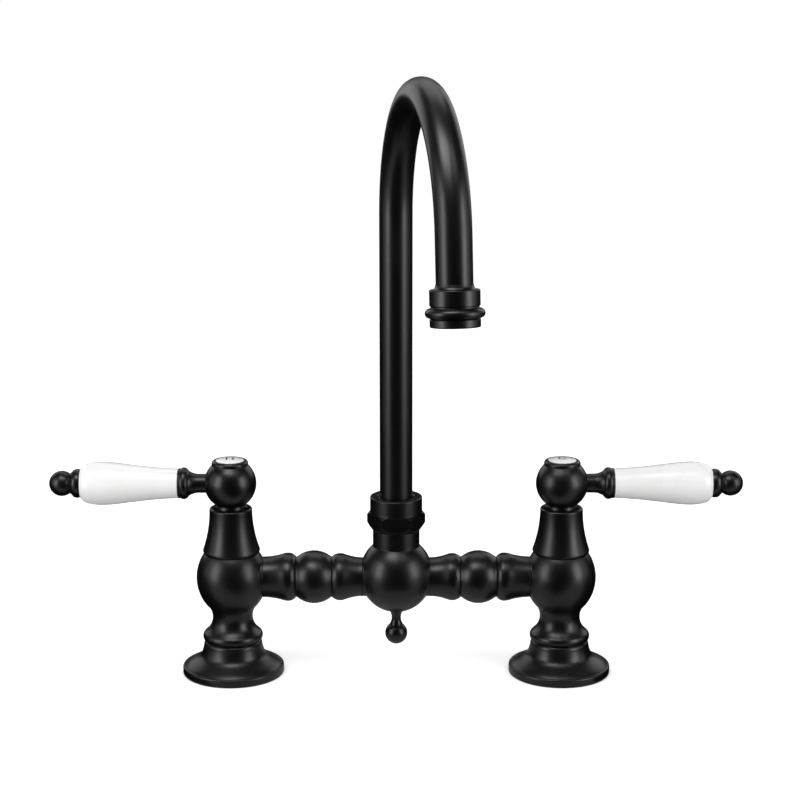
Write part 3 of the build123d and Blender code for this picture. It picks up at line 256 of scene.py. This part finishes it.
# %% Turned metals
METAL_PATCH = 9 * MM
GROOVE_DEPTH = 0.02 * MM
GROOVE_SHINE, GROOVE_SHADE = -0.06, 0.08  # what a groove does to the roughness


def turned_metal(name, bright, dull, roughness, wave_unit):
    """A metal with lathe grooves across the upright axis and slow patches of tarnish."""
    material, tree, place, output = new_material(name)
    patches = add_node(tree, "TexNoise", {"Vector": place, "Scale": 1 / METAL_PATCH,
                                          "Detail": 4.0})
    grooves = add_node(tree, "TexWave", {"Vector": place, "Scale": 1 / wave_unit,
                                         "Distortion": 1.5, "Detail": 2.0, "Detail Scale": 2.0},
                       wave_type="BANDS", bands_direction="Z")
    tone = add_node(tree, "Mix", {FACTOR: patches.outputs["Fac"], COLOUR_A: linear(dull),
                                  COLOUR_B: linear(bright)}, data_type="RGBA")
    polish = add_node(tree, "MapRange", {
        "Value": grooves.outputs["Fac"], "To Min": roughness + GROOVE_SHINE,
        "To Max": roughness + GROOVE_SHADE})
    bump = add_node(tree, "Bump", {"Height": grooves.outputs["Fac"], "Strength": 0.3,
                                   "Distance": GROOVE_DEPTH})
    shader = add_node(tree, "BsdfPrincipled", {
        "Base Color": tone.outputs[MIXED], "Metallic": 1.0,
        "Roughness": polish.outputs["Result"], "Normal": bump.outputs["Normal"]})
    tree.links.new(shader.outputs["BSDF"], output)
    return material


brass = turned_metal("turned_brass", "#d9b66a", "#b58d45", 0.27, 0.35 * MM)
steel = turned_metal("turned_stainless_steel", "#c9cbcc", "#aeb1b3", 0.3, 0.3 * MM)
print("metals:", brass.name, "and", steel.name)

# %% [markdown]
# Moulded and sintered parts. Seals are black EPDM rubber, dull and slightly dusty with the
# grain of their mould. The discs are lapped alumina, smooth and cream white. The bearing
# rings and the aerator are acetal, a waxy grey-white plastic. Each could have a graph of its
# own, but they differ only in colour, gloss, grain and index, so one function takes those.

# %% Rubber, ceramic and plastic
TONE_FLOW = 12 * MM
GRAIN_SHINE, GRAIN_SHADE = -0.05, 0.07  # what a grain does to the roughness


def moulded(name, dark, light, roughness, grain, depth, index):
    """A moulded or sintered material: grain and depth are the size of its relief."""
    material, tree, place, output = new_material(name)
    grains = add_node(tree, "TexNoise", {"Vector": place, "Scale": 1 / grain, "Detail": 3.0})
    flow = add_node(tree, "TexNoise", {"Vector": place, "Scale": 1 / TONE_FLOW, "Detail": 2.0})
    tone = add_node(tree, "Mix", {FACTOR: flow.outputs["Fac"], COLOUR_A: linear(dark),
                                  COLOUR_B: linear(light)}, data_type="RGBA")
    polish = add_node(tree, "MapRange", {
        "Value": grains.outputs["Fac"], "To Min": roughness + GRAIN_SHINE,
        "To Max": roughness + GRAIN_SHADE})
    bump = add_node(tree, "Bump", {"Height": grains.outputs["Fac"], "Strength": 0.3,
                                   "Distance": depth})
    shader = add_node(tree, "BsdfPrincipled", {
        "Base Color": tone.outputs[MIXED], "Roughness": polish.outputs["Result"],
        "Normal": bump.outputs["Normal"], "IOR": index})
    tree.links.new(shader.outputs["BSDF"], output)
    return material


alumina = moulded("lapped_alumina", "#e8e3d6", "#f2eee4", 0.3, 0.5 * MM, 0.01 * MM, 1.6)
rubber = moulded("epdm_rubber", "#131313", "#1c1c1b", 0.72, 0.35 * MM, 0.04 * MM, 1.5)
acetal = moulded("white_acetal", "#cfd1d0", "#dadcda", 0.42, 0.6 * MM, 0.02 * MM, 1.48)
print("moulded:", alumina.name, rubber.name, "and", acetal.name)

# %% [markdown]
# The record names a material slot for every CAD node. A finish could be given to each node
# by hand, but the slots already say which pieces are alike. So each slot gets its finish,
# and each node's object gets the finish of its slot.

# %% Give every CAD node its finish
finishes = {
    "matte_black": black_coat, "porcelain": porcelain, "letter_enamel": enamel,
    "brass": brass, "stainless": steel,
    "disc_ceramic": alumina, "rubber": rubber, "plastic": acetal,
}
for part in frame["record"]["subparts"]:
    slots = cad[part["node"]].data.materials
    slots.clear()
    slots.append(finishes[part["material_slot"]])

# %% [markdown]
# Pieces made by hand need three small steps again and again. An operator acts on all that is
# selected, and the load leaves things selected, so a piece is first made the only one.
# Vertices are picked by their place, not by number, so that the picking holds when the shape
# changes. And a finished piece's turn and size go into its mesh.

# %% Helpers for pieces made by hand
def only(piece):
    """Deselect everything, then select this piece and make it active."""
    bpy.ops.object.select_all(action="DESELECT")
    piece.select_set(True)
    bpy.context.view_layer.objects.active = piece


def pick(piece, wanted):
    """In edit mode, select the vertices whose place passes the test."""
    bpy.ops.mesh.select_mode(type="VERT")
    bpy.ops.mesh.select_all(action="DESELECT")
    bpy.ops.object.mode_set(mode="OBJECT")
    for vertex in piece.data.vertices:
        vertex.select = wanted(piece.matrix_world @ vertex.co)
    bpy.ops.object.mode_set(mode="EDIT")


def settle(piece, place=True):
    """Apply a piece's turn and size, and its place too unless it keeps its own origin."""
    only(piece)
    bpy.ops.object.transform_apply(location=place, rotation=True, scale=True)


print(len(bpy.context.selected_objects), "objects are selected before the first step")

# %% [markdown]
# Pipe threads. The shanks under the deck are G 1/2 pipe, 14 threads to the inch, and the CAD
# model draws them plain at the crest. A bump would show a thread only inside the outline, and
# stacked rings wouldn't climb, so the thread is real. Its ridge starts as a plane, seen end
# on. The plane's outer edge is narrowed to the crest, and a Screw modifier winds it up the
# pipe. Its inner edge lies a little under the root, inside the pipe, so no gap shows.

# %% Wind a thread's ridge
THREAD_PITCH = 25.4 / 14 * MM
CREST_R = 10.48 * MM
ROOT_R = 9.32 * MM
ROOT_WIDTH = 0.86 * THREAD_PITCH
CREST_WIDTH = 0.16 * THREAD_PITCH
RIDGE_SINK = 0.1 * MM
STEPS_PER_TURN = 40
WELD = 0.001 * MM  # vertices closer than this are one


def thread_ridge(name, x, low, high):
    """A helical ridge round the vertical axis at x, from one height to the other."""
    depth = CREST_R - ROOT_R + RIDGE_SINK
    bpy.ops.mesh.primitive_plane_add(size=1, location=(x, 0, low), rotation=(math.pi / 2, 0, 0))
    ridge = bpy.context.object
    ridge.name = name
    ridge.scale = (depth, ROOT_WIDTH, 1)
    settle(ridge, place=False)
    bpy.ops.object.mode_set(mode="EDIT")
    bpy.ops.mesh.select_all(action="SELECT")
    bpy.ops.transform.translate(value=(CREST_R - depth / 2, 0, 0))
    pick(ridge, lambda v: v.x - x > CREST_R - RIDGE_SINK)
    bpy.ops.transform.resize(value=(1, 1, CREST_WIDTH / ROOT_WIDTH), center_override=(x, 0, low))
    bpy.ops.object.mode_set(mode="OBJECT")
    screw = ridge.modifiers.new("winding", "SCREW")
    screw.screw_offset = THREAD_PITCH
    screw.iterations = int((high - low) / THREAD_PITCH)
    screw.steps = screw.render_steps = STEPS_PER_TURN
    bpy.ops.object.modifier_apply(modifier=screw.name)
    bpy.ops.object.mode_set(mode="EDIT")
    bpy.ops.mesh.select_all(action="SELECT")
    bpy.ops.mesh.remove_doubles(threshold=WELD)
    bpy.ops.mesh.fill_holes(sides=4)
    bpy.ops.mesh.select_all(action="SELECT")
    bpy.ops.mesh.normals_make_consistent(inside=False)
    bpy.ops.object.mode_set(mode="OBJECT")
    return ridge


print("pitch", round(THREAD_PITCH / MM, 3), "mm, depth", round((CREST_R - ROOT_R) / MM, 2), "mm")

# %% [markdown]
# Threaded shanks. Each is a copy of its CAD node, so its bore, its chamfered tail and its
# relief groove stay true. The copy is merged first, because a CAD mesh is loose triangles.
# Its crests are drawn in to the thread's root, and the ridges of both threaded runs are
# joined to it: the short one at the tail, for the supply hose, and the long one from the
# backnut up through the deck into the valve body.

# %% Thread both shanks
THREAD_RUNS = ((-58.3 * MM, -46.2 * MM), (-42.6 * MM, 30.0 * MM))
CREST_REACH = 0.05 * MM  # what lies this near to the crest's radius is crest


def threaded_shank(side):
    """The shank's CAD shape, its crests drawn in to the root, with the ridges round it."""
    node = cad[f"{side}_shank"]
    low_corner, high_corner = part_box(node.name)
    axis_x = (low_corner[0] + high_corner[0]) / 2
    shank = node.copy()
    shank.data = node.data.copy()
    shank.name = f"{side}_threaded_shank"
    bpy.context.scene.collection.objects.link(shank)
    only(shank)
    bpy.ops.object.mode_set(mode="EDIT")
    bpy.ops.mesh.select_all(action="SELECT")
    bpy.ops.mesh.remove_doubles(threshold=WELD)
    pick(shank, lambda v: math.hypot(v.x - axis_x, v.y) > CREST_R - CREST_REACH)
    bpy.ops.transform.resize(value=(ROOT_R / CREST_R, ROOT_R / CREST_R, 1),
                             center_override=(axis_x, 0, 0))
    bpy.ops.object.mode_set(mode="OBJECT")
    ridges = [thread_ridge(f"{side}_thread_{i}", axis_x, *run)
              for i, run in enumerate(THREAD_RUNS)]
    only(shank)
    for ridge in ridges:
        ridge.select_set(True)
    bpy.ops.object.join()
    settle(shank)
    shank.data.materials.clear()
    shank.data.materials.append(finishes["brass"])
    return shank


for side in ("left", "right"):
    shank = threaded_shank(side)
    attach(shank, "faucet")
    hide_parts(f"{side}_shank")
    print(shank.name, len(shank.data.polygons), "faces")

# %% [markdown]
# The studio's paper. The photograph stands the tap on white in soft light. A floor that is
# lit up to pure white would also light the tap from below, so the sheet is pale paper. The
# softboxes light it near the tap, where it takes soft shadows, and what the camera sees of
# it further out is brought up to white by a glow that grows with distance. Only the camera
# sees the glow, so it doesn't light the tap. An Ambient Occlusion node dims the glow where
# a foot stands close over the paper, for the shadow of its contact.

# %% Studio paper
PAPER_MOTTLE = 1 / 3  # m, slow clouds
GLOW_NEAR, GLOW_FAR = 0.78, 1.0
GLOW_START, GLOW_END = 0.22, 1.2  # m from the tap's axis
SHADE_REACH = 50 * MM


def studio_paper():
    """Pale paper, and a glow towards white that only the camera sees, dimmed near the feet as
    painted contact shadow.
    """
    material, tree, place, output = new_material("pale_studio_paper")
    mottle = add_node(tree, "TexNoise", {"Vector": place, "Scale": 1 / PAPER_MOTTLE,
                                         "Detail": 2.0})
    pale = add_node(tree, "Mix", {FACTOR: mottle.outputs["Fac"], COLOUR_A: linear("#cacaca"),
                                  COLOUR_B: linear("#d0d0d0")}, data_type="RGBA")
    paper = add_node(tree, "BsdfDiffuse", {"Color": pale.outputs[MIXED]})
    reach = add_node(tree, "VectorMath", {"Vector": place}, operation="LENGTH")
    rise = add_node(tree, "MapRange", {
        "Value": reach.outputs["Value"], "From Min": GLOW_START, "From Max": GLOW_END,
        "To Min": GLOW_NEAR, "To Max": GLOW_FAR}, interpolation_type="SMOOTHSTEP")
    # Painted contact shadow: the AO darkens the camera-only glow where a foot stands close.
    hidden = add_node(tree, "AmbientOcclusion", {"Distance": SHADE_REACH}, samples=8)
    shaded = add_node(tree, "Math", {LEFT: rise.outputs["Result"], RIGHT: hidden.outputs["AO"]},
                      operation="MULTIPLY")
    seen = add_node(tree, "LightPath").outputs["Is Camera Ray"]
    only_seen = add_node(tree, "Math", {LEFT: shaded.outputs["Value"], RIGHT: seen},
                         operation="MULTIPLY")
    glow = add_node(tree, "Emission", {"Strength": only_seen.outputs["Value"]})
    both = add_node(tree, "AddShader", {LEFT: paper.outputs["BSDF"],
                                        RIGHT: glow.outputs["Emission"]})
    tree.links.new(both.outputs["Shader"], output)
    return material


paper = studio_paper()
print(paper.name, "has", len(paper.node_tree.nodes), "nodes")

# %% [markdown]
# The floor. A curved backdrop would do for one view, but the tap is looked at from all sides,
# so the sheet is flat, and so wide that its end is lost in the white behind it.

# %% Floor
FLOOR_WIDTH = 60  # m

bpy.ops.mesh.primitive_plane_add(size=FLOOR_WIDTH, location=(0, 0, 0))
floor = bpy.context.object
floor.name = "studio_floor"
floor.data.materials.append(paper)
print("floor", floor.dimensions[0], "m wide")

# %% [markdown]
# A black tap on a white table would mirror the table and turn grey. Photographers lay black
# card round it, covered with short dark fibres that swallow light.

# %% Black card
FLOCK_TUFT = 4 * MM


def flocked_card():
    """Card that gives back almost no light."""
    material, tree, place, output = new_material("black_flocked_card")
    flock = add_node(tree, "TexNoise", {"Vector": place, "Scale": 1 / FLOCK_TUFT, "Detail": 2.0})
    dark = add_node(tree, "Mix", {FACTOR: flock.outputs["Fac"], COLOUR_A: linear("#0a0a0a"),
                                  COLOUR_B: linear("#141414")}, data_type="RGBA")
    shader = add_node(tree, "BsdfDiffuse", {"Color": dark.outputs[MIXED]})
    tree.links.new(shader.outputs["BSDF"], output)
    return material


black_card = flocked_card()
print(black_card.name, "has", len(black_card.node_tree.nodes), "nodes")

# %% [markdown]
# Here the card is a ring that only reflections see: a disc with its middle inset and
# deleted. It has a gap on each side, where a tall softbox stands, because the bright paper
# there is what lengthens the highlights down to the tap's feet.

# %% Card ring round the tap
CARD_HOLE_R = 0.105
CARD_R = 3.0
CARD_SIDES = 96
CARD_HEIGHT = 1 * MM
CARD_GAPS = ((-76, -40), (42, 78))  # azimuths, where the two tall softboxes stand

bpy.ops.mesh.primitive_circle_add(vertices=CARD_SIDES, radius=CARD_R, fill_type="NGON",
                                  location=(0, 0, CARD_HEIGHT))
card = bpy.context.object
card.name = "black_card_ring"
bpy.ops.object.mode_set(mode="EDIT")
bpy.ops.mesh.select_all(action="SELECT")
bpy.ops.mesh.inset(thickness=CARD_R - CARD_HOLE_R)
bpy.ops.mesh.delete(type="FACE")
bpy.ops.mesh.select_mode(type="FACE")
bpy.ops.mesh.select_all(action="DESELECT")
bpy.ops.object.mode_set(mode="OBJECT")
for face in card.data.polygons:
    azimuth = math.degrees(math.atan2(face.center.x, -face.center.y))
    face.select = any(low < azimuth < high for low, high in CARD_GAPS)
bpy.ops.object.mode_set(mode="EDIT")
bpy.ops.mesh.delete(type="FACE")
bpy.ops.object.mode_set(mode="OBJECT")
card.data.materials.append(black_card)
card.visible_camera = False
card.visible_diffuse = False
card.visible_shadow = False
print("card ring", len(card.data.polygons), "faces")

# %% [markdown]
# Past the floor's end the camera sees the same white. A white world would light the tap from
# all round, so the world is hidden from every other kind of ray: the softboxes alone light
# the tap, and its black coat stays black.

# %% Ground seen behind
BACKDROP_WHITE = 1.05

world = bpy.data.worlds.new("studio")
world.use_nodes = True
bpy.context.scene.world = world
backdrop = world.node_tree.nodes["Background"]
backdrop.inputs["Color"].default_value = (1, 1, 1, 1)
backdrop.inputs["Strength"].default_value = BACKDROP_WHITE
for ray in ("diffuse", "glossy", "transmission", "scatter"):
    setattr(world.cycles_visibility, ray, False)
print("backdrop strength", BACKDROP_WHITE)

# %% [markdown]
# The softboxes. Each round part of the photographed tap has two tall soft bands, about a
# third of its radius wide and as far apart as its radius. That places a tall box on each
# side, about 60 degrees from the camera, a metre away and reaching the floor, with a dimmer
# one behind it that gives the bands their soft outer edge. Spots high on the balls and the
# bend of the spout give the high boxes, and thin light lines round the outline the back ones.
# Area lights are used, because a shiny round part mirrors a lamp's own shape.

# %% Softboxes
LIGHT_AIM = Vector((0, 0, 0.12))
# azimuth 0 is the camera's side, positive to the right; metres and watts per m2 and steradian
SOFTBOXES = (
    # name, azimuth, elevation, distance, width, height, radiance
    ("left_softbox", -57, 13, 1.10, 0.44, 0.74, 5.6),
    ("right_softbox", 60, 13, 1.10, 0.44, 0.74, 5.8),
    ("left_wide_box", -84, 13, 1.10, 0.44, 0.74, 1.0),
    ("right_wide_box", 88, 13, 1.10, 0.40, 0.74, 1.0),
    ("high_left_box", -48, 58, 1.30, 0.50, 0.45, 2.2),
    ("high_right_box", 42, 58, 1.30, 0.50, 0.45, 2.3),
    ("overhead_box", -19, 63.5, 0.84, 0.45, 0.35, 7.0),
    ("high_back_box", 180, 60, 1.30, 0.90, 0.50, 1.5),
    ("low_back_box", 180, 40, 1.30, 0.90, 0.40, 0.8),
    ("left_back_box", -142, 21, 1.30, 0.90, 0.70, 1.2),
    ("right_back_box", 142, 21, 1.30, 0.90, 0.70, 1.2),
)


def softbox(name, azimuth, elevation, distance, width, height, radiance):
    """An area light that faces the tap."""
    turn, rise = math.radians(azimuth), math.radians(elevation)
    away = Vector((math.sin(turn) * math.cos(rise), -math.cos(turn) * math.cos(rise),
                   math.sin(rise)))
    data = bpy.data.lights.new(name, "AREA")
    data.shape = "RECTANGLE"
    data.size, data.size_y = width, height
    data.energy = radiance * width * height * math.pi
    lamp = bpy.data.objects.new(name, data)
    lamp.location = LIGHT_AIM + away * distance
    lamp.rotation_euler = away.to_track_quat("Z", "Y").to_euler()
    lamp.visible_camera = False
    bpy.context.scene.collection.objects.link(lamp)


for box in SOFTBOXES:
    softbox(*box)
print(len(SOFTBOXES), "softboxes")

# %% [markdown]
# Last, the view layer is updated.

# %% Finish
bpy.context.view_layer.update()
